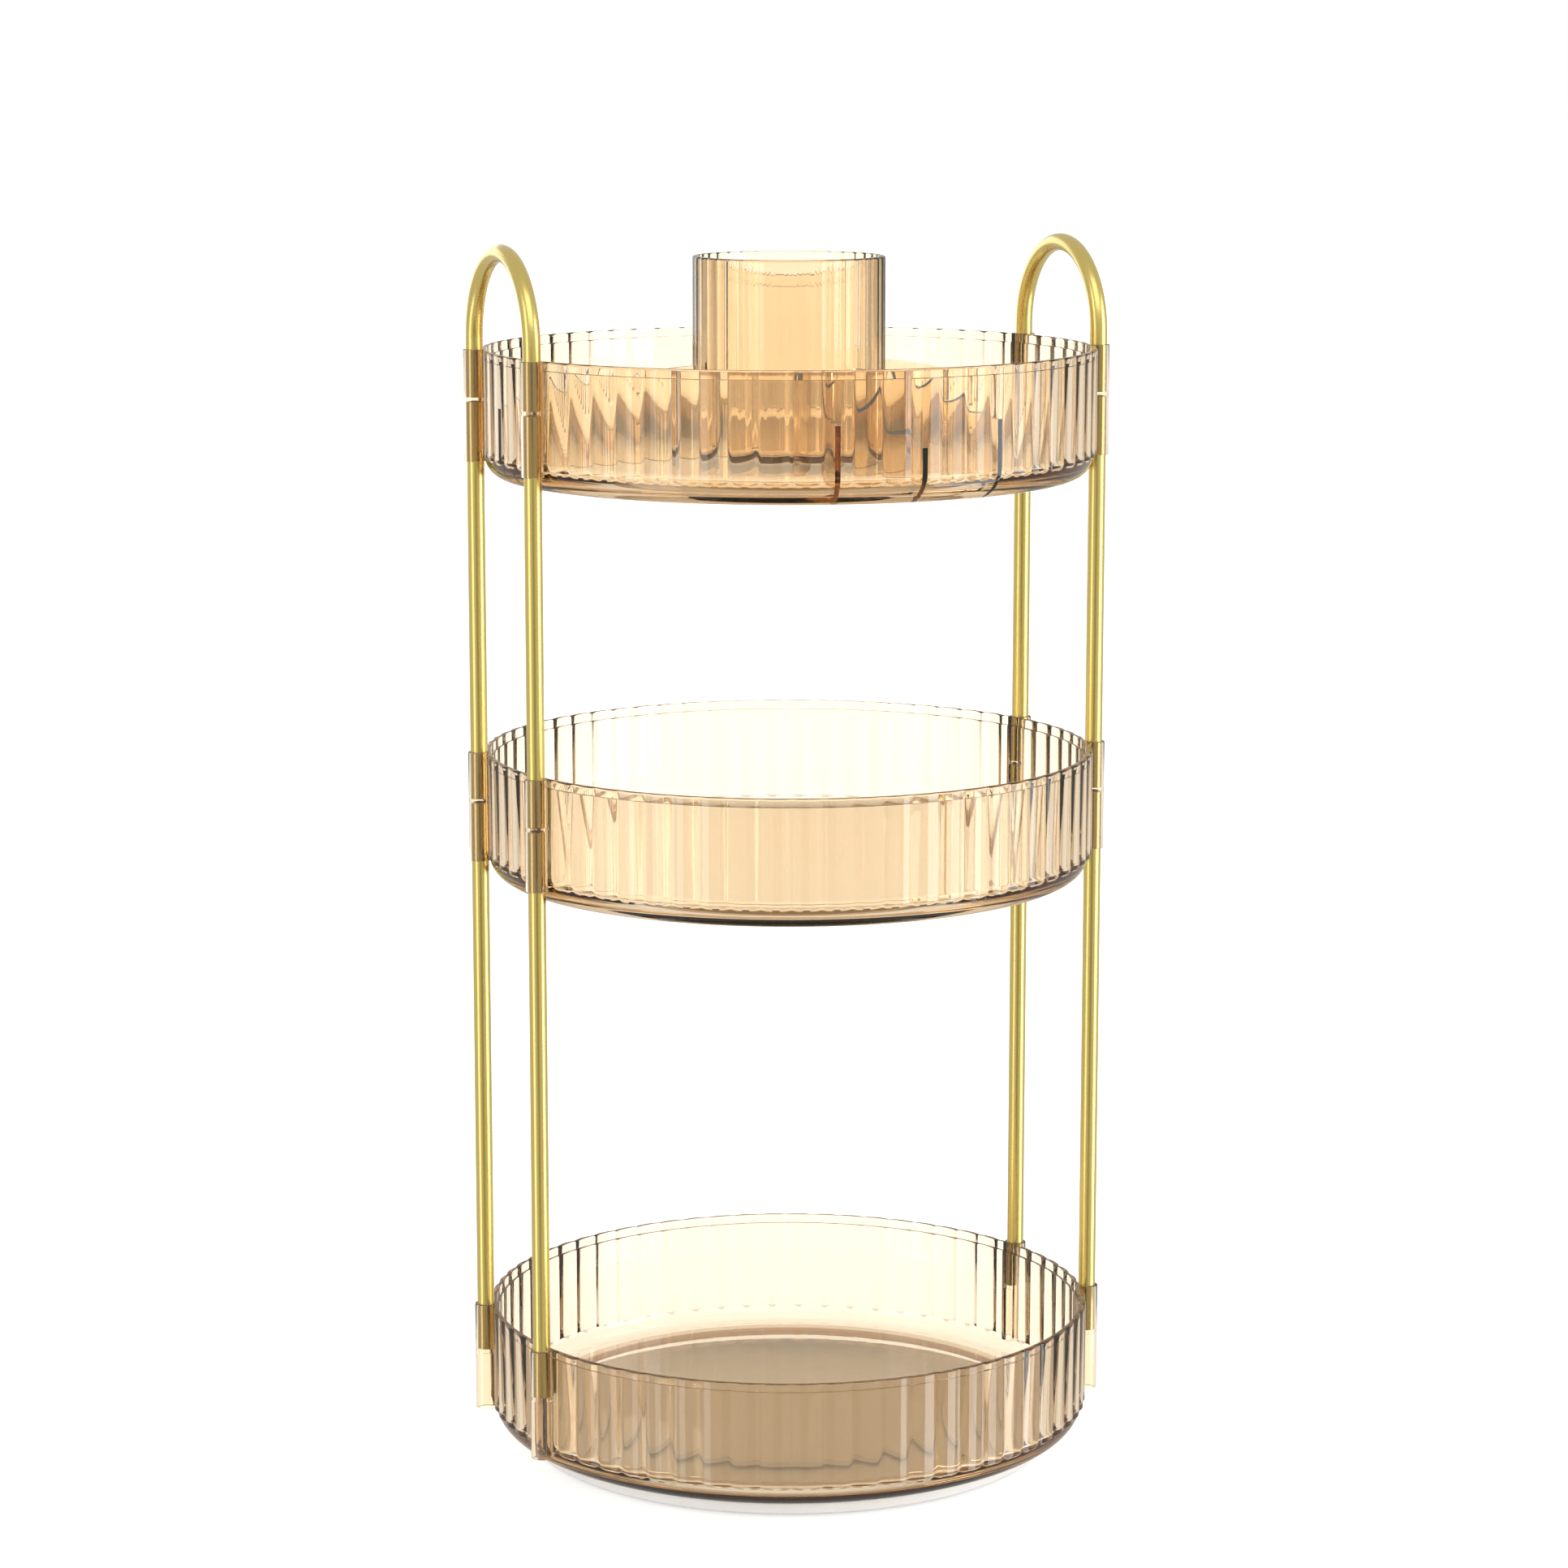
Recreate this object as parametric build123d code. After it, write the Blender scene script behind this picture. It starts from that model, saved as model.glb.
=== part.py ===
from build123d import *
import math
import os

# Rotating three-tier makeup organizer: ribbed clear trays on metal tubes, on a ball-bearing turntable.
# +Z is up, the surface it stands on is z = 0, the handles lie along X and the front is -Y.

# Trays: one moulding for all tiers, measured from the rim down
tray_radius = 115.0
tray_depth = 47.8
tray_wall = 2.0
tray_floor = 2.5
tray_rib_count = 66
tray_rib_rise = 1.0
tray_corner_radius = 8.5
tray_ledge = 0.2
lip_depth = 3.4
lip_step = 0.8
foot_ring_width = 8.0
foot_ring_height = 2.1

# Distances between the three tiers
lower_tier_spacing = 215.0
upper_tier_spacing = 151.0

# Tube sockets on the tray walls: a stop ring in the middle holds the tubes apart
socket_wall = 0.9
socket_length = 41.5
socket_depth = 17.7
stop_height = 1.6
stop_width = 0.45
socket_offset = 2.1
socket_clearance = 0.05

# Tubes and handles
tube_diameter = 6.5
tube_wall = 0.8
handle_span = 65.2
handle_rise = 40.0

# Dividing fins of the top tray, each behind the crest of a rib
fin_thickness = 1.8
fin_inner_drop = 6.0
fin_outer_drop = 19.5
fin_inner_flat = 22.0
fin_outer_flat = 33.0
slot_ribs = 3
low_fin_drop = 8.5
side_fin_angle = 90.0

# Brush cup in the middle of the top tray
cup_radius = 36.0
cup_height = 77.0
cup_wall = 1.8
cup_floor = 2.5
cup_rib_count = 36
cup_rib_rise = 0.55
cup_corner_radius = 4.0
cup_ledge = 0.2
cup_clearance = 0.8

# Base plate: a skirted disc with spokes underneath, on rubber feet
base_inset = 14.0
base_skirt = 2.5
base_deck = 2.5
base_bottom = 0.8
base_top = 5.5
base_edge_round = 1.2
base_hub_radius = 14.0
spoke_count = 12
spoke_width = 2.0

# Rubber feet in pockets of the base plate
foot_count = 6
foot_diameter = 13.0
foot_height = 1.4
foot_inset = 10.0
foot_boss_wall = 1.5
foot_clearance = 0.05

# Ball bearing between the base plate and the turntable plate
ball_diameter = 4.0
ball_count = 18
ball_circle_radius = 60.0
race_clearance = 0.08
bearing_gap = 1.6
cage_width = 8.0
cage_clearance = 0.3

# Turntable plate, bonded under the bottom tray
turntable_radius = 76.0
turntable_thickness = 2.2
turntable_hub_radius = 10.0
hub_clearance = 0.2

# Pivot screw and thrust washer on the axis
screw_diameter = 6.0
screw_head_diameter = 11.0
screw_head_height = 1.4
washer_diameter = 14.0
washer_thickness = 0.6
pivot_clearance = 0.08
counterbore_depth = 2.4
counterbore_clearance = 0.5
screw_tip_gap = 0.3

# Lengths that follow from the sizes above
tray_core_radius = tray_radius - tray_rib_rise - tray_ledge
tray_inner_radius = tray_radius - tray_rib_rise - tray_wall
tray_rib_length = tray_depth - tray_corner_radius
tray_rib_pitch = 360 / tray_rib_count
middle_fin_angle = tray_rib_pitch / 2
slot_angle = slot_ribs * tray_rib_pitch
tray_recess = foot_ring_height - tray_depth
tray_floor_top = tray_recess + tray_floor
tray_inner_corner = tray_corner_radius - tray_wall
foot_ring_inner = tray_core_radius - tray_corner_radius - foot_ring_width
stop_top = -socket_depth
stop_bottom = -socket_depth - stop_height
tube_radius = tube_diameter / 2
socket_bore_radius = tube_radius + socket_clearance
socket_radius = socket_bore_radius + socket_wall
tube_circle_radius = tray_radius + socket_offset
tube_y = handle_span / 2
tube_x = math.sqrt(tube_circle_radius ** 2 - tube_y ** 2)
base_radius = tray_radius - base_inset
foot_circle_radius = base_radius - foot_inset
ball_radius = ball_diameter / 2
race_radius = ball_radius + race_clearance
ball_height = base_top + bearing_gap / 2
turntable_bottom = base_top + bearing_gap
turntable_top = turntable_bottom + turntable_thickness
bottom_rim_height = turntable_top - tray_recess
middle_rim_height = bottom_rim_height + lower_tier_spacing
top_rim_height = middle_rim_height + upper_tier_spacing
counterbore_top = base_bottom + counterbore_depth
washer_top = counterbore_top - pivot_clearance
washer_bottom = washer_top - washer_thickness

# The four tube places, named as seen from the front
posts = {
    "front_left": (-tube_x, -tube_y),
    "front_right": (tube_x, -tube_y),
    "back_left": (-tube_x, tube_y),
    "back_right": (tube_x, tube_y),
}


def polar(radius, angle):
    """Point on a circle about the axis, the angle counted in degrees from the front."""
    turn = math.radians(angle - 90)
    return (radius * math.cos(turn), radius * math.sin(turn))


def upright(radius, bottom, top):
    """Solid cylinder on the axis between two heights."""
    return Pos(0, 0, bottom) * Cylinder(radius, top - bottom, align=(Align.CENTER, Align.CENTER, Align.MIN))


def ring(outer, inner, bottom, top):
    """Flat ring on the axis between two heights."""
    return upright(outer, bottom, top) - upright(inner, bottom, top)


def turned(*edges):
    """Solid of revolution about the axis from an outline in radius and height."""
    return revolve(Plane.XZ * make_face(Curve() + list(edges)), Axis.Z)


def ribbed_column(radius, count, rise, height):
    """Column whose outside is a row of convex ribs, with a valley at the front, hanging below z = 0."""
    valley = radius - rise
    pitch = 360 / count
    ribs = []
    for i in range(count):
        crest = polar(radius, (i + 0.5) * pitch)
        ribs.append(ThreePointArc(polar(valley, i * pitch), crest, polar(valley, (i + 1) * pitch)))
    return extrude(make_face(Curve() + ribs), -height)


def round_bottomed(radius, bottom, top, corner):
    """Solid cylinder with a rounded lower edge."""
    return turned(
        Line((0, bottom), (radius - corner, bottom)),
        JernArc((radius - corner, bottom), (1, 0), corner, 90),
        Polyline((radius, bottom + corner), (radius, top), (0, top), (0, bottom)),
    )


# The tray's outside without its hollow, which also trims the fins
tray_core = round_bottomed(tray_core_radius, -tray_depth, 0, tray_corner_radius)
tray_core -= upright(foot_ring_inner, -tray_depth, tray_recess)

tray_hollow = round_bottomed(tray_inner_radius, tray_floor_top, 0, tray_inner_corner)
tray_hollow += upright(tray_inner_radius + lip_step, -lip_depth, 0)


def socket_holes():
    """Bores of the four sockets, narrowed to their stop rings in the middle."""
    hole = upright(socket_bore_radius, -socket_length, 0)
    hole -= ring(socket_bore_radius, socket_bore_radius - stop_width, stop_bottom, stop_top)
    return [Pos(x, y, 0) * hole for x, y in posts.values()]


def make_tray():
    """Ribbed tray with four tube sockets on its wall, its rim at z = 0."""
    tray = tray_core + ribbed_column(tray_radius, tray_rib_count, tray_rib_rise, tray_rib_length)
    for x, y in posts.values():
        tray += Pos(x, y, 0) * upright(socket_radius, -socket_length, 0)
    return tray - tray_hollow - socket_holes()


def make_fin(angle, drop):
    """Upright dividing fin with an S-curved top edge, from the brush cup out to the tray wall."""
    inner_end = cup_radius + cup_clearance
    outer_end = tray_core_radius
    inner_top = -fin_inner_drop - drop
    outer_top = -fin_outer_drop - drop
    root = tray_floor_top - tray_floor / 2
    outline = Curve() + [
        Bezier(
            (inner_end, inner_top),
            (inner_end + fin_inner_flat, inner_top),
            (outer_end - fin_outer_flat, outer_top),
            (outer_end, outer_top),
        ),
        Polyline((outer_end, outer_top), (outer_end, root), (inner_end, root), (inner_end, inner_top)),
    ]
    fin = extrude(Plane.XZ * make_face(outline), fin_thickness / 2, both=True)
    return (Rot(0, 0, angle - 90) * fin) & tray_core


def make_top_tray():
    """Tray with a pair of narrow slots at the front and a fin on each side along the handle axis."""
    tray = make_tray()
    tray += make_fin(middle_fin_angle, low_fin_drop)
    slot_sides = (middle_fin_angle - slot_angle, middle_fin_angle + slot_angle)
    for angle in (-side_fin_angle, *slot_sides, side_fin_angle):
        tray += make_fin(angle, 0)
    return tray


def make_tube(bottom, top):
    """Straight open tube between two heights."""
    return ring(tube_radius, tube_radius - tube_wall, bottom, top)


def make_handle(side):
    """Tube bent to an arch, its two legs standing in the sockets of one side of the top tray."""
    foot = top_rim_height + stop_top
    spring = top_rim_height + handle_rise - tube_radius - tube_y
    x = side * tube_x
    path = Curve() + [
        Line((x, -tube_y, foot), (x, -tube_y, spring)),
        ThreePointArc((x, -tube_y, spring), (x, 0, spring + tube_y), (x, tube_y, spring)),
        Line((x, tube_y, spring), (x, tube_y, foot)),
    ]
    section = Circle(tube_radius) - Circle(tube_radius - tube_wall)
    return sweep(Pos(x, -tube_y, foot) * section, path=path)


def make_brush_cup():
    """Ribbed tumbler that stands on the floor of the top tray."""
    core_radius = cup_radius - cup_rib_rise - cup_ledge
    inner_radius = cup_radius - cup_rib_rise - cup_wall
    inner_corner = max(cup_corner_radius - cup_wall, cup_wall / 2)
    cup = round_bottomed(core_radius, -cup_height, 0, cup_corner_radius)
    cup += ribbed_column(cup_radius, cup_rib_count, cup_rib_rise, cup_height - cup_corner_radius)
    cup -= round_bottomed(inner_radius, cup_floor - cup_height, 0, inner_corner)
    return Pos(0, 0, top_rim_height + tray_floor_top + cup_height) * cup


def around(count, radius, piece):
    """Copies of a piece evenly spaced about the axis, the first half a pitch from the front."""
    pitch = 360 / count
    places = [polar(radius, (i + 0.5) * pitch) for i in range(count)]
    return [Pos(x, y, 0) * piece for x, y in places]


def make_base_plate():
    """Skirted disc with a hub, spokes and foot bosses below and a ball groove on top."""
    deck_bottom = base_top - base_deck
    boss_radius = foot_diameter / 2 + foot_boss_wall
    plate = upright(base_radius, base_bottom, base_top)
    plate = fillet(plate.edges().filter_by(GeomType.CIRCLE), base_edge_round)
    plate -= ring(base_radius - base_skirt, base_hub_radius, base_bottom, deck_bottom)
    spoke = Pos(0, 0, base_bottom) * Box(
        base_radius - base_skirt / 2,
        spoke_width,
        deck_bottom - base_bottom,
        align=(Align.MIN, Align.CENTER, Align.MIN),
    )
    plate += [Rot(0, 0, i * 360 / spoke_count) * spoke for i in range(spoke_count)]
    plate += around(foot_count, foot_circle_radius, upright(boss_radius, base_bottom, deck_bottom))
    pocket = upright(foot_diameter / 2 + foot_clearance, base_bottom, foot_height)
    plate -= around(foot_count, foot_circle_radius, pocket)
    plate -= Pos(0, 0, ball_height) * Torus(ball_circle_radius, race_radius)
    plate -= upright(washer_diameter / 2 + counterbore_clearance, base_bottom, counterbore_top)
    return plate - upright(screw_diameter / 2 + pivot_clearance, base_bottom, base_top)


def make_turntable_plate():
    """Upper race of the bearing: a disc with a ball groove and a threaded hub."""
    plate = upright(turntable_radius, turntable_bottom, turntable_top)
    plate += upright(turntable_hub_radius, base_top + hub_clearance, turntable_top)
    plate -= Pos(0, 0, ball_height) * Torus(ball_circle_radius, race_radius)
    return plate - upright(screw_diameter / 2, base_top, turntable_top)


def make_ball_cage():
    """Flat ring that keeps the balls apart."""
    bottom = base_top + cage_clearance
    top = turntable_bottom - cage_clearance
    cage = ring(ball_circle_radius + cage_width / 2, ball_circle_radius - cage_width / 2, bottom, top)
    return cage - around(ball_count, ball_circle_radius, upright(race_radius, bottom, top))


def make_pivot_screw():
    """Pan-head screw that ties the base plate to the turntable hub from below."""
    head = upright(screw_head_diameter / 2, washer_bottom - screw_head_height, washer_bottom)
    return head + upright(screw_diameter / 2, washer_bottom, turntable_top - screw_tip_gap)


def make_pivot_washer():
    """Thrust washer between the screw head and the base plate."""
    return ring(washer_diameter / 2, screw_diameter / 2 + pivot_clearance, washer_bottom, washer_top)


tray = make_tray()
foot = upright(foot_diameter / 2, 0, foot_height)
ball = Pos(0, 0, ball_height) * Sphere(ball_radius)
parts = {
    "base_plate": make_base_plate(),
    "rubber_feet": Compound(around(foot_count, foot_circle_radius, foot)),
    "ball_cage": make_ball_cage(),
    "bearing_balls": Compound(around(ball_count, ball_circle_radius, ball)),
    "turntable_plate": make_turntable_plate(),
    "pivot_screw": make_pivot_screw(),
    "pivot_washer": make_pivot_washer(),
    "bottom_tray": Pos(0, 0, bottom_rim_height) * tray,
    "middle_tray": Pos(0, 0, middle_rim_height) * tray,
    "top_tray": Pos(0, 0, top_rim_height) * make_top_tray(),
    "left_handle": make_handle(-1),
    "right_handle": make_handle(1),
    "brush_cup": make_brush_cup(),
}
lower_tube = make_tube(bottom_rim_height + stop_top, middle_rim_height + stop_bottom)
upper_tube = make_tube(middle_rim_height + stop_top, top_rim_height + stop_bottom)
for place, (x, y) in posts.items():
    parts["lower_tube_" + place] = Pos(x, y, 0) * lower_tube
    parts["upper_tube_" + place] = Pos(x, y, 0) * upper_tube

os.makedirs("parts", exist_ok=True)
for name, part in parts.items():
    export_step(part, "parts/" + name + ".step")
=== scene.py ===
import bpy
import math
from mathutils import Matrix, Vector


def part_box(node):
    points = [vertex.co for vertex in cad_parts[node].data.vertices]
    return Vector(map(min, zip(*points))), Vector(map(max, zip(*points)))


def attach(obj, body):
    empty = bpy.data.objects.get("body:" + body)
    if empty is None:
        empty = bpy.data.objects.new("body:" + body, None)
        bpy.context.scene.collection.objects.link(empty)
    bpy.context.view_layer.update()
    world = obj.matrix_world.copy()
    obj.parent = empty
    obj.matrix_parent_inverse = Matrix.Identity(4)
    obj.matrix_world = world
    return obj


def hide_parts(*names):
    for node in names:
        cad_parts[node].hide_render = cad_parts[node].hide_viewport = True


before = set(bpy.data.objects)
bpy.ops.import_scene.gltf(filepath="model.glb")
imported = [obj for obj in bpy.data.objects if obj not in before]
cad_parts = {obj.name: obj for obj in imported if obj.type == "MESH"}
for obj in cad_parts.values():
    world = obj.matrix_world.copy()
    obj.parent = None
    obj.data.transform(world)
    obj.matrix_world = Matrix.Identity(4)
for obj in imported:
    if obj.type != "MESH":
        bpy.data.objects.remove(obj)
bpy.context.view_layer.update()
mm = 0.001


# Base plate: a skirted disc that stays still while the rest turns on it. It is moulded in white
# plastic, with a ball groove on top and a hub, twelve spokes and six foot bosses underneath.
def activate(piece):
    """Makes a piece the only one selected."""
    bpy.ops.object.select_all(action="DESELECT")
    piece.select_set(True)
    bpy.context.view_layer.objects.active = piece


def settle(piece):
    """Applies a piece's place, turn and scale to its mesh."""
    activate(piece)
    bpy.ops.object.transform_apply()


def duplicate(piece):
    """Copy of a piece with its own mesh."""
    copy = piece.copy()
    copy.data = piece.data.copy()
    bpy.context.collection.objects.link(copy)
    return copy


def pick(piece, wanted):
    """Opens a piece for editing with just the points selected whose place is wanted."""
    activate(piece)
    bpy.ops.object.mode_set(mode="EDIT")
    bpy.ops.mesh.select_mode(type="VERT")
    bpy.ops.mesh.select_all(action="DESELECT")
    bpy.ops.object.mode_set(mode="OBJECT")
    for vertex in piece.data.vertices:
        vertex.select = wanted(vertex.co)
    bpy.ops.object.mode_set(mode="EDIT")


def extrude_up(rise):
    """Extrudes what is selected straight up, or down where the rise is below zero."""
    bpy.ops.mesh.extrude_region_move(TRANSFORM_OT_translate={"value": (0, 0, rise)})


def close_editing():
    """Cleans the mesh that is being edited, turns its faces outwards and leaves edit mode."""
    bpy.ops.mesh.select_all(action="SELECT")
    bpy.ops.mesh.remove_doubles(threshold=weld)
    bpy.ops.mesh.dissolve_degenerate(threshold=weld)
    bpy.ops.mesh.normals_make_consistent(inside=False)
    bpy.ops.object.mode_set(mode="OBJECT")


def turn_on_lathe(name, outline, segments):
    """Turns an outline of radius and height: a circle at its first point, extruded ring by ring.
    An outline that comes back to its start closes on itself, and another one gets end faces."""
    bpy.ops.object.select_all(action="DESELECT")
    radius, height = outline[0]
    closed = outline[-1] == outline[0]
    fill = "NOTHING" if closed else "NGON"
    bpy.ops.mesh.primitive_circle_add(
        vertices=segments, radius=radius, fill_type=fill, location=(0, 0, height)
    )
    piece = bpy.context.object
    piece.name = name
    piece.data.name = name
    settle(piece)
    bpy.ops.object.mode_set(mode="EDIT")
    for next_radius, next_height in outline[1:]:
        extrude_up(next_height - height)
        ratio = next_radius / radius
        bpy.ops.transform.resize(value=(ratio, ratio, 1), center_override=(0, 0, next_height))
        radius, height = next_radius, next_height
    close_editing()
    return piece


def arc(centre, radius, start, end, steps):
    """Points of an arc in the plane of radius and height, between two angles in degrees."""
    angles = [math.radians(start + (end - start) * i / steps) for i in range(steps + 1)]
    return [(centre[0] + radius * math.cos(a), centre[1] + radius * math.sin(a)) for a in angles]


def join(pieces):
    """Makes one object of several."""
    activate(pieces[0])
    for piece in pieces:
        piece.select_set(True)
    bpy.ops.object.join()
    return pieces[0]


def combine(piece, tool, operation):
    """Adds a tool's shape to a piece or takes it away."""
    activate(piece)
    modifier = piece.modifiers.new("combine", "BOOLEAN")
    modifier.operation = operation
    modifier.solver = "EXACT"
    modifier.object = tool
    modifier.show_viewport = False
    bpy.ops.object.modifier_apply(modifier=modifier.name)
    bpy.data.objects.remove(tool)
    bpy.ops.object.mode_set(mode="EDIT")
    close_editing()


def around(piece, count, first_angle):
    """Copies a piece round the axis and joins the copies."""
    copies = [piece] + [duplicate(piece) for _ in range(count - 1)]
    for i, copy in enumerate(copies):
        copy.rotation_euler.z = math.radians(first_angle + i * 360 / count)
        settle(copy)
    return join(copies)


def smooth(piece, angle):
    """Smooth shading, with edges sharper than the angle left crisp."""
    activate(piece)
    bpy.ops.object.shade_smooth_by_angle(angle=math.radians(angle))


def dress(piece, material, body, node):
    """Gives a finished piece its material and puts it in the place of its node."""
    piece.data.materials.clear()
    piece.data.materials.append(material)
    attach(piece, body)
    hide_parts(node)


weld = 0.002 * mm
base_low, base_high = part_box("base_plate")
base_radius = base_high.x
base_bottom = base_low.z
base_top = base_high.z
base_round = 1.2 * mm
base_skirt = 2.5 * mm
base_deck = 2.5 * mm
base_segments = 192
deck_bottom = base_top - base_deck
skirt_inner = base_radius - base_skirt
round_centre = base_radius - base_round
hub_radius = 14 * mm
pivot_hole = 3.08 * mm
counterbore_radius = 7.5 * mm
counterbore_depth = 2.4 * mm
counterbore_top = base_bottom + counterbore_depth
ball_circle = 60 * mm
bearing_gap = 1.6 * mm
ball_height = base_top + bearing_gap / 2
groove_radius = 2.08 * mm
groove_reach = math.degrees(math.asin((ball_height - base_top) / groove_radius))
base_outline = [
    (pivot_hole, base_top),
    *arc((ball_circle, ball_height), groove_radius, 180 + groove_reach, 360 - groove_reach, 8),
    *arc((round_centre, base_top - base_round), base_round, 90, 0, 6),
    *arc((round_centre, base_bottom + base_round), base_round, 0, -90, 6),
    (skirt_inner, base_bottom),
    (skirt_inner, deck_bottom),
    (hub_radius, deck_bottom),
    (hub_radius, base_bottom),
    (counterbore_radius, base_bottom),
    (counterbore_radius, counterbore_top),
    (pivot_hole, counterbore_top),
    (pivot_hole, base_top),
]
base_plate = turn_on_lathe("base_plate_moulding", base_outline, base_segments)

spoke_count = 12
spoke_width = 2 * mm
spoke_overlap = 1 * mm
deck_overlap = 0.3 * mm
spoke_inner = hub_radius - spoke_overlap
spoke_outer = skirt_inner + spoke_overlap
spoke_top = deck_bottom + deck_overlap
bpy.ops.object.select_all(action="DESELECT")
bpy.ops.mesh.primitive_cube_add(
    size=1,
    location=((spoke_inner + spoke_outer) / 2, 0, (base_bottom + spoke_top) / 2),
    scale=(spoke_outer - spoke_inner, spoke_width, spoke_top - base_bottom),
)
spoke = bpy.context.object
settle(spoke)
combine(base_plate, around(spoke, spoke_count, 0), "UNION")

foot_count = 6
first_foot_angle = -60
foot_inset = 10 * mm
foot_circle = base_radius - foot_inset
foot_radius = 6.5 * mm
boss_wall = 1.5 * mm
boss_radius = foot_radius + boss_wall
boss_segments = 48
pocket_play = 0.05 * mm
pocket_radius = foot_radius + pocket_play
pocket_top = 1.4 * mm
boss_outline = [
    (pocket_radius, pocket_top),
    (pocket_radius, base_bottom),
    (boss_radius, base_bottom),
    (boss_radius, spoke_top),
]
boss = turn_on_lathe("boss", boss_outline, boss_segments)
boss.location.x = foot_circle
settle(boss)
combine(base_plate, around(boss, foot_count, first_foot_angle), "UNION")
smooth(base_plate, angle=30)


def mould_finish():
    """Skin of a moulded part: a fine grain on the surface and slow changes of gloss and shade."""
    group = bpy.data.node_groups.new("mould_finish", "ShaderNodeTree")
    sockets = group.interface
    for name, value in (("Grain Size", 0.5), ("Gloss", 0.3), ("Gloss Change", 0.1)):
        socket = sockets.new_socket(name, in_out="INPUT", socket_type="NodeSocketFloat")
        socket.default_value = value
    for name in ("Roughness", "Height", "Shade"):
        sockets.new_socket(name, in_out="OUTPUT", socket_type="NodeSocketFloat")
    nodes, links = group.nodes, group.links
    inside = nodes.new("NodeGroupInput")
    outside = nodes.new("NodeGroupOutput")
    place = nodes.new("ShaderNodeTexCoord")
    grain_scale = nodes.new("ShaderNodeMath")
    grain_scale.operation = "DIVIDE"
    grain_scale.inputs[0].default_value = 1 / mm
    links.new(inside.outputs["Grain Size"], grain_scale.inputs[1])
    grain = nodes.new("ShaderNodeTexNoise")
    grain.inputs["Detail"].default_value = 3
    links.new(place.outputs["Object"], grain.inputs["Vector"])
    links.new(grain_scale.outputs[0], grain.inputs["Scale"])
    links.new(grain.outputs["Fac"], outside.inputs["Height"])
    flow = nodes.new("ShaderNodeTexNoise")
    flow.inputs["Scale"].default_value = 45
    flow.inputs["Detail"].default_value = 4
    links.new(place.outputs["Object"], flow.inputs["Vector"])
    links.new(flow.outputs["Fac"], outside.inputs["Shade"])
    change = nodes.new("ShaderNodeMath")
    change.operation = "MULTIPLY_ADD"
    links.new(flow.outputs["Fac"], change.inputs[0])
    links.new(inside.outputs["Gloss Change"], change.inputs[1])
    links.new(inside.outputs["Gloss"], change.inputs[2])
    links.new(change.outputs[0], outside.inputs["Roughness"])
    return group


def new_material(name):
    """New material, with its node tree and its shader."""
    material = bpy.data.materials.new(name)
    material.use_nodes = True
    return material, material.node_tree, material.node_tree.nodes["Principled BSDF"]


def drift(tree, share, pale, deep):
    """Colour between two by a share. Sockets 6, 7 and 2 are the ones for colour."""
    colour = tree.nodes.new("ShaderNodeMix")
    colour.data_type = "RGBA"
    colour.inputs[6].default_value = (*pale, 1)
    colour.inputs[7].default_value = (*deep, 1)
    tree.links.new(share, colour.inputs["Factor"])
    return colour.outputs[2]


def raise_grain(tree, shader, height, strength, depth):
    """Lets a height stand out of the surface of a shader."""
    bump = tree.nodes.new("ShaderNodeBump")
    bump.inputs["Strength"].default_value = strength
    bump.inputs["Distance"].default_value = depth
    tree.links.new(height, bump.inputs["Height"])
    tree.links.new(bump.outputs["Normal"], shader.inputs["Normal"])


def add_mould_finish(tree, shader, grain_size, gloss, gloss_change):
    """Gives a shader the gloss of a moulded skin."""
    finish = tree.nodes.new("ShaderNodeGroup")
    finish.node_tree = mould_group
    finish.inputs["Grain Size"].default_value = grain_size
    finish.inputs["Gloss"].default_value = gloss
    finish.inputs["Gloss Change"].default_value = gloss_change
    tree.links.new(finish.outputs["Roughness"], shader.inputs["Roughness"])
    return finish


def moulded_plastic(name, pale, deep, grain_size, gloss, gloss_change, grain_depth):
    """Opaque moulded plastic whose shade drifts between two colours."""
    material, tree, plastic = new_material(name)
    finish = add_mould_finish(tree, plastic, grain_size, gloss, gloss_change)
    tree.links.new(drift(tree, finish.outputs["Shade"], pale, deep), plastic.inputs["Base Color"])
    raise_grain(tree, plastic, finish.outputs["Height"], strength=0.35, depth=grain_depth)
    return material


mould_group = mould_finish()
base_plastic = moulded_plastic(
    "base_plastic",
    pale=(0.93, 0.93, 0.925),
    deep=(0.89, 0.89, 0.885),
    grain_size=0.6,
    gloss=0.34,
    gloss_change=0.12,
    grain_depth=0.05 * mm,
)
dress(base_plate, base_plastic, "base", "base_plate")


# Rubber feet: six grey pads pressed into the pockets of the base plate, moulded with a rounded
# edge, a dimple and a shallow ring in the face that grips the table.
foot_segments = 64
foot_round = 0.5 * mm
foot_middle = 0.2 * mm
dimple_floor = 2.2 * mm
dimple_edge = 2.5 * mm
grip_inner = 3.6 * mm
grip_outer = 4.4 * mm
grip_slope = 0.2 * mm
grip_depth = 0.25 * mm
foot_outline = [
    (foot_middle, grip_depth),
    (dimple_floor, grip_depth),
    (dimple_edge, 0),
    (grip_inner, 0),
    (grip_inner + grip_slope, grip_depth),
    (grip_outer - grip_slope, grip_depth),
    (grip_outer, 0),
    *arc((foot_radius - foot_round, foot_round), foot_round, -90, 0, 6),
    (foot_radius, pocket_top),
    (foot_middle, pocket_top),
]
foot = turn_on_lathe("foot_pads", foot_outline, foot_segments)
foot.location.x = foot_circle
settle(foot)
foot_pads = around(foot, foot_count, first_foot_angle)
smooth(foot_pads, angle=30)
foot_rubber = moulded_plastic(
    "foot_rubber",
    pale=(0.30, 0.30, 0.29),
    deep=(0.22, 0.22, 0.22),
    grain_size=0.25,
    gloss=0.62,
    gloss_change=0.2,
    grain_depth=0.08 * mm,
)
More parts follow.
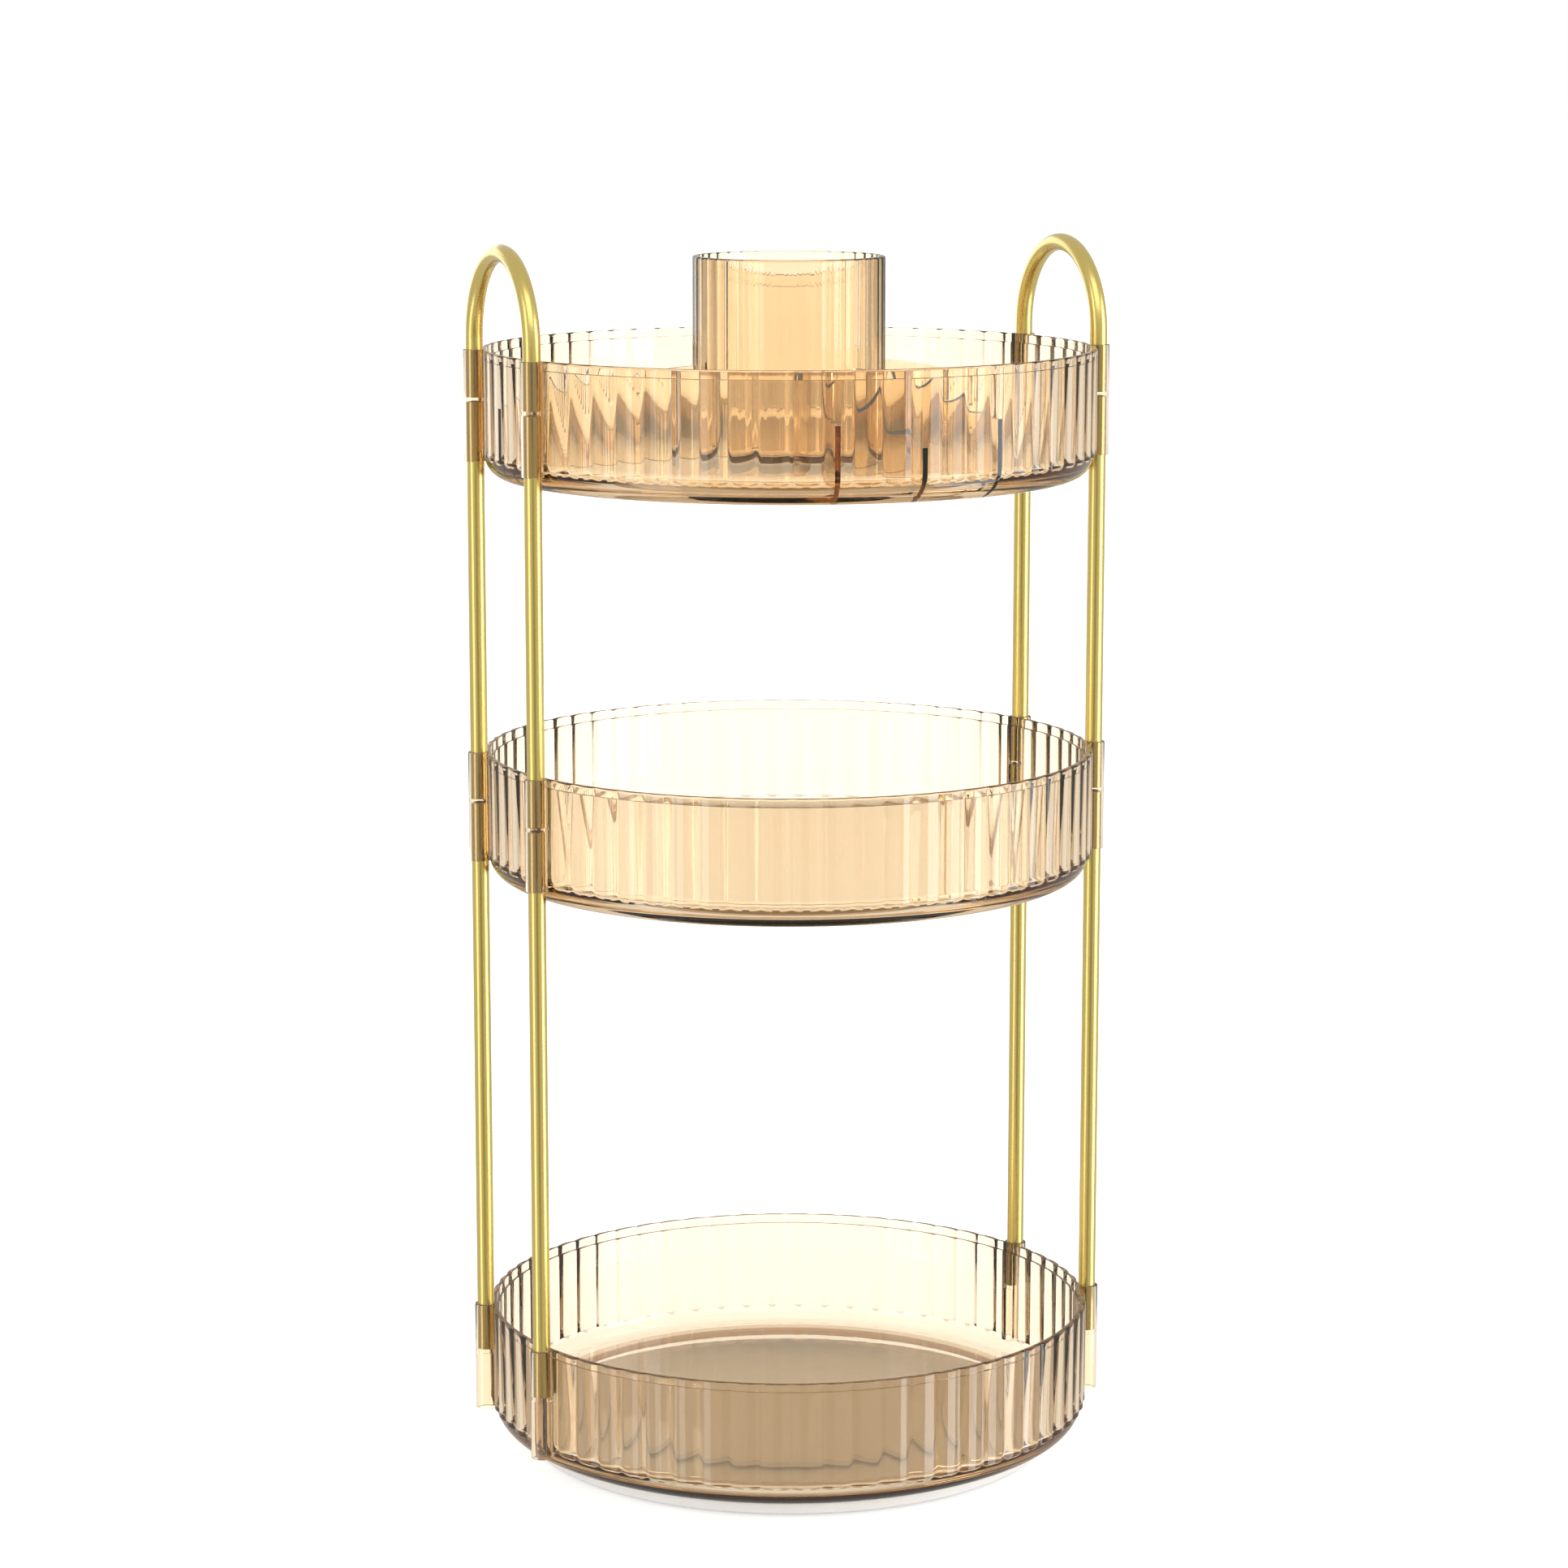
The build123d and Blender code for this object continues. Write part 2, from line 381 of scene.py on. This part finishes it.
dress(foot_pads, foot_rubber, "base", "rubber_feet")


# Ball cage, balls, pivot screw and washer: the works of the turntable, shut in between the two
# plates. The cage is natural nylon, and the balls, screw and washer are polished steel.
def add_polish(tree, shader, grain, gloss, spread):
    """Lets the gloss of a metal change with its grain."""
    polish = tree.nodes.new("ShaderNodeMapRange")
    polish.inputs["To Min"].default_value = gloss
    polish.inputs["To Max"].default_value = gloss + spread
    tree.links.new(grain, polish.inputs["Value"])
    tree.links.new(polish.outputs["Result"], shader.inputs["Roughness"])


def steel(name, colour, gloss):
    """Polished steel with the fine grain of its grinding."""
    material, tree, metal = new_material(name)
    metal.inputs["Base Color"].default_value = (*colour, 1)
    metal.inputs["Metallic"].default_value = 1
    place = tree.nodes.new("ShaderNodeTexCoord")
    grinding = tree.nodes.new("ShaderNodeTexNoise")
    grinding.inputs["Scale"].default_value = 900
    grinding.inputs["Detail"].default_value = 2
    tree.links.new(place.outputs["Object"], grinding.inputs["Vector"])
    add_polish(tree, metal, grinding.outputs["Fac"], gloss, spread=0.15)
    return material


bearing_steel = steel("bearing_steel", colour=(0.62, 0.62, 0.63), gloss=0.12)
cage_nylon = moulded_plastic(
    "cage_nylon",
    pale=(0.72, 0.70, 0.64),
    deep=(0.64, 0.62, 0.56),
    grain_size=0.5,
    gloss=0.42,
    gloss_change=0.1,
    grain_depth=0.05 * mm,
)
for node, material in (
    ("ball_cage", cage_nylon),
    ("bearing_balls", bearing_steel),
    ("pivot_screw", bearing_steel),
    ("pivot_washer", bearing_steel),
):
    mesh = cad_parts[node].data
    mesh.materials.clear()
    mesh.materials.append(material)


# Turntable plate: the upper race, a white moulded disc fixed into the recess under the bottom
# tray, with a breath of air between the two faces. Its hub takes the pivot screw from below.
table_low, table_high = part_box("turntable_plate")
table_radius = table_high.x
table_bottom = base_top + bearing_gap
table_air = 0.02 * mm
table_top = table_high.z - table_air
table_round = 0.5 * mm
table_hub = 10 * mm
table_segments = 160
screw_radius = 3 * mm
table_outline = [
    (screw_radius, table_low.z),
    (table_hub, table_low.z),
    (table_hub, table_bottom),
    *arc((ball_circle, ball_height), groove_radius, 180 - groove_reach, groove_reach, 8),
    *arc((table_radius - table_round, table_bottom + table_round), table_round, -90, 0, 4),
    (table_radius, table_top),
    (screw_radius, table_top),
    (screw_radius, table_low.z),
]
turntable_plate = turn_on_lathe("turntable_disc", table_outline, table_segments)
smooth(turntable_plate, angle=30)
dress(turntable_plate, base_plastic, "tower", "turntable_plate")


# Bottom and middle tray: round open trays injection moulded in clear champagne-tinted plastic.
# The wall is a row of convex ribs outside and smooth inside, with a stepped lip at the rim, a
# round lower corner, a foot ring, and four sockets with a stop ring half-way for the tube ends.
tray_radius = 115 * mm
tray_depth = 47.8 * mm
tray_wall = 2 * mm
tray_floor = 2.5 * mm
tray_ledge = 0.2 * mm
rib_count = 66
rib_rise = 1 * mm
points_per_rib = 12
valley_fill = 0.12
valley = tray_radius - rib_rise
core_radius = valley - tray_ledge
inner_radius = valley - tray_wall
corner_radius = 8.5 * mm
inner_corner = corner_radius - tray_wall
lip_step = 0.8 * mm
lip_radius = inner_radius + lip_step
lip_depth = 3.4 * mm
ring_height = 2.1 * mm
ring_width = 8 * mm
ring_outer = core_radius - corner_radius
ring_inner = ring_outer - ring_width
recess = ring_height - tray_depth
floor_top = recess + tray_floor
rib_bottom = corner_radius - tray_depth
edge = 0.3 * mm
rim_round = 0.8 * mm
ledge_round = 0.4 * mm
middle_face = 1 * mm
near = 0.01 * mm


def raise_ribs(piece, wall, count, rise, bottom):
    """Pushes the wall out into convex ribs, one upright row of points after the other."""
    def row(place):
        """Which row of its rib a point stands in, or none for a point off the wall."""
        radius = math.hypot(place.x, place.y)
        if radius <= wall - rim_round - near or place.z <= bottom - near:
            return None
        turn = math.atan2(place.x, place.y) / (2 * math.pi) * count * points_per_rib
        return round(turn) % points_per_rib

    for step in range(points_per_rib):
        pick(piece, lambda place: row(place) == step)
        along = step / points_per_rib
        height = rise * max(valley_fill, 1 - (2 * along - 1) ** 2)
        swell = (wall + height) / wall
        bpy.ops.transform.resize(value=(swell, swell, 1), center_override=(0, 0, 0))
        bpy.ops.object.mode_set(mode="OBJECT")


tray_outline = [
    (middle_face, recess),
    (ring_inner, recess),
    *arc((ring_inner + edge, -tray_depth + edge), edge, 180, 270, 3),
    *arc((ring_outer, rib_bottom), corner_radius, -90, 0, 14),
    (valley, rib_bottom),
    *arc((valley - rim_round, -rim_round), rim_round, 0, 90, 6),
    *arc((lip_radius + edge, -edge), edge, 90, 180, 4),
    (lip_radius, -lip_depth),
    *arc((inner_radius + ledge_round, -lip_depth - ledge_round), ledge_round, 90, 180, 4),
    *arc((inner_radius - inner_corner, floor_top + inner_corner), inner_corner, 0, -90, 12),
    (middle_face, floor_top),
]
tray = turn_on_lathe("tray", tray_outline, rib_count * points_per_rib)
raise_ribs(tray, valley, rib_count, rib_rise, rib_bottom)

socket_radius = 4.2 * mm
socket_bore = 3.3 * mm
socket_length = 41.5 * mm
socket_depth = 17.7 * mm
socket_segments = 64
stop_height = 1.6 * mm
stop_hole = 2.85 * mm
stop_bottom = -socket_depth - stop_height
bore_excess = 0.4 * mm
bore_bottom = -socket_length - bore_excess
tube_low, tube_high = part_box("lower_tube_front_right")
right_x = (tube_low.x + tube_high.x) / 2
front_y = (tube_low.y + tube_high.y) / 2
posts = {
    "front_left": (-right_x, front_y),
    "front_right": (right_x, front_y),
    "back_left": (-right_x, -front_y),
    "back_right": (right_x, -front_y),
}


def at_posts(piece):
    """Copies a piece from the axis to the four tube places and joins the copies."""
    copies = []
    for x, y in posts.values():
        copy = duplicate(piece)
        copy.location = (x, y, 0)
        settle(copy)
        copies.append(copy)
    bpy.data.objects.remove(piece)
    return join(copies)


socket_outline = [
    (middle_face, -socket_length),
    *arc((socket_radius - edge, edge - socket_length), edge, -90, 0, 3),
    *arc((socket_radius - edge, -edge), edge, 0, 90, 3),
    (middle_face, 0),
]
combine(tray, at_posts(turn_on_lathe("socket", socket_outline, socket_segments)), "UNION")
bore_outline = [
    (middle_face, bore_bottom),
    (socket_bore, bore_bottom),
    (socket_bore, stop_bottom),
    (stop_hole, stop_bottom),
    (stop_hole, -socket_depth),
    (socket_bore, -socket_depth),
    (socket_bore, bore_excess),
    (middle_face, bore_excess),
]
combine(tray, at_posts(turn_on_lathe("bore", bore_outline, socket_segments)), "DIFFERENCE")


def copy_to(piece, name, place):
    """Copy of a piece under its own name, moved to a place."""
    copy = duplicate(piece)
    copy.name = name
    copy.data.name = name
    copy.location = place
    settle(copy)
    return copy


def clear_plastic(name, tint, depth_tint, depth_density):
    """Clear moulded plastic. The tint is in its depth: thin walls are nearly clear, edges brown."""
    material, tree, plastic = new_material(name)
    plastic.inputs["Base Color"].default_value = (*tint, 1)
    plastic.inputs["Transmission Weight"].default_value = 1
    plastic.inputs["IOR"].default_value = 1.57
    finish = add_mould_finish(tree, plastic, grain_size=9, gloss=0, gloss_change=0.04)
    raise_grain(tree, plastic, finish.outputs["Height"], strength=0.15, depth=0.1 * mm)
    absorption = tree.nodes.new("ShaderNodeVolumeAbsorption")
    absorption.inputs["Color"].default_value = (*depth_tint, 1)
    absorption.inputs["Density"].default_value = depth_density
    tree.links.new(absorption.outputs["Volume"], tree.nodes["Material Output"].inputs["Volume"])
    return material


champagne_plastic = clear_plastic(
    "champagne_plastic",
    tint=(0.985, 0.88, 0.72),
    depth_tint=(0.79, 0.62, 0.37),
    depth_density=60,
)
bottom_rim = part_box("bottom_tray")[1].z
middle_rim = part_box("middle_tray")[1].z
top_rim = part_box("top_tray")[1].z
for node, rim in (("bottom_tray", bottom_rim), ("middle_tray", middle_rim)):
    moulding = copy_to(tray, node + "_moulding", (0, 0, rim))
    smooth(moulding, angle=35)
    dress(moulding, champagne_plastic, "tower", node)


# Tubes: eight straight steel tubes with a satin gold plating, their ends lightly broken. They
# are pushed into the sockets up to the stop rings, and in there the gold has painted shade.
def satin_gold(name, pale, deep, lacquer, gloss):
    """Satin gold plating on drawn steel tube, with the fine lines of its brushing."""
    material, tree, metal = new_material(name)
    metal.inputs["Metallic"].default_value = 1
    metal.inputs["Coat Weight"].default_value = lacquer
    metal.inputs["Coat Roughness"].default_value = 0.2
    metal.inputs["Coat IOR"].default_value = 1.6
    place = tree.nodes.new("ShaderNodeTexCoord")
    stretch = tree.nodes.new("ShaderNodeMapping")
    stretch.inputs["Scale"].default_value = (3000, 3000, 60)
    tree.links.new(place.outputs["Object"], stretch.inputs["Vector"])
    lines = tree.nodes.new("ShaderNodeTexNoise")
    lines.inputs["Scale"].default_value = 1
    lines.inputs["Detail"].default_value = 3
    tree.links.new(stretch.outputs["Vector"], lines.inputs["Vector"])
    tree.links.new(drift(tree, lines.outputs["Fac"], pale, deep), metal.inputs["Base Color"])
    add_polish(tree, metal, lines.outputs["Fac"], gloss, spread=0.12)
    raise_grain(tree, metal, lines.outputs["Fac"], strength=0.12, depth=0.02 * mm)
    return material


def paint_socket_shade(post, lower_mouth, upper_mouth):
    """Painted shade: darker gold on the stretches of a tube below one socket mouth and above another."""
    post.data.materials.append(socket_shade_gold)
    for face in post.data.polygons:
        if not lower_mouth < face.center.z < upper_mouth:
            face.material_index = 1


gold = satin_gold(
    "satin_gold", pale=(0.80, 0.66, 0.20), deep=(0.74, 0.60, 0.17), lacquer=0.8, gloss=0.22
)
# Painted shade: a darker gold that stands in for the shade on the tube ends inside the sockets.
socket_shade_gold = satin_gold(
    "socket_shade_gold", pale=(0.48, 0.40, 0.12), deep=(0.42, 0.35, 0.10), lacquer=0.4, gloss=0.12
)
tube_radius = 3.25 * mm
tube_wall = 0.8 * mm
tube_edge = 0.2 * mm
tube_segments = 48
tube_bore = tube_radius - tube_wall
for tier, lower_mouth, upper_mouth in (
    ("lower", bottom_rim, middle_rim - socket_length),
    ("upper", middle_rim, top_rim - socket_length),
):
    low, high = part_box(tier + "_tube_front_left")
    tube_outline = [
        (tube_bore, low.z),
        (tube_radius - tube_edge, low.z),
        (tube_radius, low.z + tube_edge),
        (tube_radius, lower_mouth),
        (tube_radius, upper_mouth),
        (tube_radius, high.z - tube_edge),
        (tube_radius - tube_edge, high.z),
        (tube_bore, high.z),
        (tube_bore, low.z),
    ]
    tube = turn_on_lathe(tier + "_tube", tube_outline, tube_segments)
    for place, (x, y) in posts.items():
        node = f"{tier}_tube_{place}"
        post = copy_to(tube, node + "_gold", (x, y, 0))
        smooth(post, angle=30)
        dress(post, gold, "tower", node)
        paint_socket_shade(post, lower_mouth, upper_mouth)
    bpy.data.objects.remove(tube)


# Top tray: the same moulding as the other tiers with five dividing fins added on its floor, which
# run from the brush cup out to the wall and have a top edge in a slow S.
fin_thickness = 1.8 * mm
fin_sink = 1.2 * mm
fin_corner_sink = 1 * mm
fin_inner = 36.8 * mm
fin_outer = core_radius - fin_sink
fin_length = fin_outer - fin_inner
fin_inner_top = -6 * mm
fin_outer_top = -19.5 * mm
fin_root = floor_top - fin_sink
fin_corner = corner_radius - fin_corner_sink
fin_steps = 28
strip_height = 1 * mm


def come_down(share):
    """How far the top edge of a fin has come down at a share of its length."""
    return share * share * (3 - 2 * share)


def make_fin(angle, drop):
    """Upright fin with an S-curved top, its root sunk into the floor and wall: a low strip whose
    points are moved to their heights column by column and which is then made thick."""
    inner_top = fin_inner_top - drop
    outer_top = fin_outer_top - drop
    bpy.ops.object.select_all(action="DESELECT")
    bpy.ops.mesh.primitive_grid_add(x_subdivisions=fin_steps, y_subdivisions=1, size=1)
    fin = bpy.context.object
    fin.location = ((fin_inner + fin_outer) / 2, -fin_thickness / 2, fin_root)
    fin.rotation_euler.x = math.radians(90)
    fin.scale = (fin_length, strip_height, 1)
    settle(fin)
    for step in range(fin_steps + 1):
        across = fin_inner + fin_length * step / fin_steps
        top = inner_top + (outer_top - inner_top) * come_down(step / fin_steps)
        bottom = fin_root
        bend = across - ring_outer
        if bend > 0:
            bottom = max(bottom, rib_bottom - math.sqrt(fin_corner ** 2 - bend ** 2))
        for side, height in ((1, top), (-1, bottom)):
            pick(fin, lambda place: abs(place.x - across) < near and (place.z - fin_root) * side > 0)
            old_height = fin_root + side * strip_height / 2
            bpy.ops.transform.translate(value=(0, 0, height - old_height))
            bpy.ops.object.mode_set(mode="OBJECT")
    bpy.ops.object.mode_set(mode="EDIT")
    bpy.ops.mesh.select_all(action="SELECT")
    bpy.ops.mesh.extrude_region_move(TRANSFORM_OT_translate={"value": (0, fin_thickness, 0)})
    close_editing()
    fin.rotation_euler.z = math.radians(angle - 90)
    settle(fin)
    return fin


rib_pitch = 360 / rib_count
low_fin_angle = rib_pitch / 2
low_fin_drop = 8.5 * mm
slot_angle = 3 * rib_pitch
side_fin_angle = 90
fins = [make_fin(low_fin_angle, low_fin_drop)]
for angle in (
    -side_fin_angle,
    low_fin_angle - slot_angle,
    low_fin_angle + slot_angle,
    side_fin_angle,
):
    fins.append(make_fin(angle, 0))
combine(tray, join(fins), "UNION")
top_tray = copy_to(tray, "top_tray_moulding", (0, 0, top_rim))
bpy.data.objects.remove(tray)
smooth(top_tray, angle=35)
dress(top_tray, champagne_plastic, "tower", "top_tray")


# Handles: two arches of the same gold tube, each bent in a half circle with its legs standing in
# two sockets of the top tray.
bend_steps = 40
for side, x in (("left", -right_x), ("right", right_x)):
    low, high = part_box(side + "_handle")
    reach = (high.y - low.y) / 2 - tube_radius
    spring = high.z - tube_radius - reach
    bpy.ops.object.select_all(action="DESELECT")
    bpy.ops.mesh.primitive_circle_add(
        vertices=tube_segments, radius=tube_radius, location=(x, -reach, low.z)
    )
    handle = bpy.context.object
    handle.name = side + "_handle_gold"
    handle.data.name = handle.name
    settle(handle)
    bpy.ops.object.mode_set(mode="EDIT")
    extrude_up(top_rim - low.z)
    extrude_up(spring - top_rim)
    bpy.ops.mesh.spin(steps=bend_steps, angle=math.pi, center=(x, 0, spring), axis=(1, 0, 0))
    extrude_up(top_rim - spring)
    extrude_up(low.z - top_rim)
    close_editing()
    wall = handle.modifiers.new("wall", "SOLIDIFY")
    wall.thickness = tube_wall
    wall.offset = -1
    bpy.ops.object.modifier_apply(modifier=wall.name)
    smooth(handle, angle=40)
    dress(handle, gold, "tower", side + "_handle")
    paint_socket_shade(handle, top_rim, high.z)


# Brush cup: a ribbed tumbler of the same clear plastic that stands loose on the floor of the top
# tray, between the inner ends of the fins, with a breath of air under it.
cup_low, cup_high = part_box("brush_cup")
cup_top = cup_high.z
cup_air = 0.05 * mm
cup_bottom = cup_low.z + cup_air
cup_radius = 36 * mm
cup_wall = 1.8 * mm
cup_rib_count = 36
cup_rib_rise = 0.55 * mm
cup_ledge = 0.2 * mm
cup_valley = cup_radius - cup_rib_rise
cup_core = cup_valley - cup_ledge
cup_inner = cup_valley - cup_wall
cup_corner = 4 * mm
inner_round = cup_corner - cup_wall
cup_base = 2.5 * mm
cup_floor = cup_bottom + cup_base
cup_rib_bottom = cup_bottom + cup_corner
cup_outline = [
    (middle_face, cup_bottom),
    *arc((cup_core - cup_corner, cup_rib_bottom), cup_corner, -90, 0, 10),
    (cup_valley, cup_rib_bottom),
    *arc((cup_valley - rim_round, cup_top - rim_round), rim_round, 0, 90, 6),
    *arc((cup_inner + edge, cup_top - edge), edge, 90, 180, 4),
    *arc((cup_inner - inner_round, cup_floor + inner_round), inner_round, 0, -90, 8),
    (middle_face, cup_floor),
]
brush_cup = turn_on_lathe("brush_cup_moulding", cup_outline, cup_rib_count * points_per_rib)
raise_ribs(brush_cup, cup_valley, cup_rib_count, cup_rib_rise, cup_rib_bottom)
smooth(brush_cup, angle=35)
dress(brush_cup, champagne_plastic, "brush_cup", "brush_cup")


# Studio: a white room and a white floor that keeps a faint shadow, with softboxes on the right,
# on the left, above and behind, which don't show through the plastic. What is mirrored is a dimmer,
# warmer room and, on the side of the camera, a grey card.
def calculate(tree, operation, *values):
    """Result of a math node between 0 and 1, from outputs of other nodes or plain numbers."""
    node = tree.nodes.new("ShaderNodeMath")
    node.operation = operation
    node.use_clamp = True
    for socket, value in zip(node.inputs, values):
        if isinstance(value, bpy.types.NodeSocket):
            tree.links.new(value, socket)
        else:
            socket.default_value = value
    return node.outputs[0]


def seen_directly(tree, path):
    """1 for rays that show a thing straight or through the plastic, 0 for mirrored or scattered ones."""
    looking = path.outputs["Is Camera Ray"]
    passing = path.outputs["Is Transmission Ray"]
    either = calculate(tree, "MAXIMUM", looking, passing)
    unmirrored = calculate(tree, "SUBTRACT", either, path.outputs["Glossy Depth"])
    return calculate(tree, "SUBTRACT", unmirrored, path.outputs["Diffuse Depth"])


def through_one_wall(tree, path):
    """1 for rays that went into one plastic wall and out again, however they were turned inside it."""
    two_faces = calculate(tree, "COMPARE", path.outputs["Transmission Depth"], 2, 0.5)
    return calculate(tree, "MULTIPLY", two_faces, path.outputs["Is Transmission Ray"])


def mix(tree, share, first, second):
    """Shader that goes from the first to the second one by a share."""
    mixed = tree.nodes.new("ShaderNodeMixShader")
    tree.links.new(share, mixed.inputs["Fac"])
    tree.links.new(first.outputs[0], mixed.inputs[1])
    tree.links.new(second.outputs[0], mixed.inputs[2])
    return mixed


def shining(tree, kind, colour, strength):
    """Background or emission of a colour and strength."""
    light = tree.nodes.new(kind)
    light.inputs["Color"].default_value = (*colour, 1)
    light.inputs["Strength"].default_value = strength
    return light


def matt(tree, brightness):
    """Plain grey paint."""
    paint = tree.nodes.new("ShaderNodeBsdfDiffuse")
    paint.inputs["Color"].default_value = (brightness, brightness, brightness, 1)
    return paint


def stage_paint(name):
    """New material with nothing but its output, and its node tree."""
    material, tree, shader = new_material(name)
    tree.nodes.remove(shader)
    return material, tree


white = (1, 1, 1)
warm_white = (1, 0.94, 0.85)
world = bpy.data.worlds.new("studio_room")
bpy.context.scene.world = world
world.use_nodes = True
tree = world.node_tree
tree.nodes.remove(tree.nodes["Background"])
path = tree.nodes.new("ShaderNodeLightPath")
lighting_room = shining(tree, "ShaderNodeBackground", white, strength=1.3)
mirrored_room = shining(tree, "ShaderNodeBackground", warm_white, strength=0.65)
white_room = shining(tree, "ShaderNodeBackground", white, strength=1)
shown_white = calculate(tree, "MAXIMUM", seen_directly(tree, path), through_one_wall(tree, path))
unseen_room = mix(tree, path.outputs["Glossy Depth"], lighting_room, mirrored_room)
room = mix(tree, shown_white, unseen_room, white_room)
tree.links.new(room.outputs[0], tree.nodes["World Output"].inputs["Surface"])

floor_size = 40
bpy.ops.object.select_all(action="DESELECT")
bpy.ops.mesh.primitive_plane_add(size=floor_size)
floor = bpy.context.object
floor.name = "studio_floor"
floor_paint, tree = stage_paint("studio_floor")
path = tree.nodes.new("ShaderNodeLightPath")
glow = shining(tree, "ShaderNodeEmission", white, strength=0.6)
half_lit = matt(tree, brightness=0.6)
glowing_floor = tree.nodes.new("ShaderNodeAddShader")
tree.links.new(half_lit.outputs[0], glowing_floor.inputs[0])
tree.links.new(glow.outputs[0], glowing_floor.inputs[1])
matt_floor = matt(tree, brightness=0.8)
plain_floor = mix(tree, seen_directly(tree, path), matt_floor, glowing_floor)
no_floor = tree.nodes.new("ShaderNodeBsdfTransparent")
unmirrored_floor = mix(tree, path.outputs["Glossy Depth"], plain_floor, no_floor)
tree.links.new(unmirrored_floor.outputs[0], tree.nodes["Material Output"].inputs["Surface"])
floor.data.materials.append(floor_paint)

camera_place = (-0.6137, -1.4917, 0.5389)
camera_turn = (math.radians(80.03), 0, math.radians(-22.3))
camera = bpy.data.objects.new("camera", bpy.data.cameras.new("camera"))
bpy.context.collection.objects.link(camera)
camera.location = camera_place
camera.rotation_euler = camera_turn
camera.data.lens = 99.06
camera.data.sensor_width = 36
bpy.context.scene.camera = camera
to_camera = camera_turn[2] - math.radians(90)


def softbox(name, side_angle, rise_angle, size, strength):
    """Soft light that faces the object, its angles counted from the camera to the right and up."""
    turn = math.radians(side_angle) + to_camera
    rise = math.radians(rise_angle)
    lamp = bpy.data.lights.new(name, "AREA")
    lamp.shape = "RECTANGLE"
    lamp.size, lamp.size_y = size
    lamp.energy = strength * math.pi * size[0] * size[1]
    lamp.use_nodes = True
    tree = lamp.node_tree
    path = tree.nodes.new("ShaderNodeLightPath")
    unseen = calculate(tree, "SUBTRACT", 1, seen_directly(tree, path))
    tree.links.new(unseen, tree.nodes["Emission"].inputs["Strength"])
    box = bpy.data.objects.new(name, lamp)
    bpy.context.collection.objects.link(box)
    box.location = (
        lamp_distance * math.cos(rise) * math.cos(turn),
        lamp_distance * math.cos(rise) * math.sin(turn),
        lamp_height + lamp_distance * math.sin(rise),
    )
    box.rotation_euler = (math.radians(90) - rise, 0, turn + math.radians(90))
    box.visible_camera = False


lamp_distance = 1.4
lamp_height = 0.25
softbox("key_softbox", side_angle=72, rise_angle=0, size=(0.7, 1.6), strength=3.2)
softbox("fill_softbox", side_angle=-54, rise_angle=0, size=(0.45, 2.2), strength=1.6)
softbox("top_softbox", side_angle=10, rise_angle=48, size=(1.2, 0.9), strength=1.2)
softbox("back_softbox", side_angle=214, rise_angle=14, size=(0.95, 0.75), strength=1.0)

card_distance = 2.4
card_height = -0.25
card_size = (3.2, 1.9, 1)
card_colour = (0.21, 0.18, 0.14)
bpy.ops.object.select_all(action="DESELECT")
bpy.ops.mesh.primitive_plane_add(
    size=1,
    location=(card_distance * math.cos(to_camera), card_distance * math.sin(to_camera), card_height),
    rotation=(math.radians(90), 0, camera_turn[2]),
    scale=card_size,
)
card = bpy.context.object
card.name = "grey_card"
card_paint, tree = stage_paint("grey_card")
path = tree.nodes.new("ShaderNodeLightPath")
grey = shining(tree, "ShaderNodeEmission", card_colour, strength=1)
no_card = tree.nodes.new("ShaderNodeBsdfTransparent")
mirrored = calculate(tree, "SUBTRACT", path.outputs["Glossy Depth"], through_one_wall(tree, path))
mirrored_card = mix(tree, mirrored, no_card, grey)
tree.links.new(mirrored_card.outputs[0], tree.nodes["Material Output"].inputs["Surface"])
card.data.materials.append(card_paint)
card.visible_camera = False
card.visible_diffuse = False
card.visible_shadow = False
card.visible_volume_scatter = False

scene = bpy.context.scene
scene.view_settings.view_transform = "Standard"
scene.cycles.max_bounces = 32
scene.cycles.transmission_bounces = 32
scene.cycles.glossy_bounces = 12
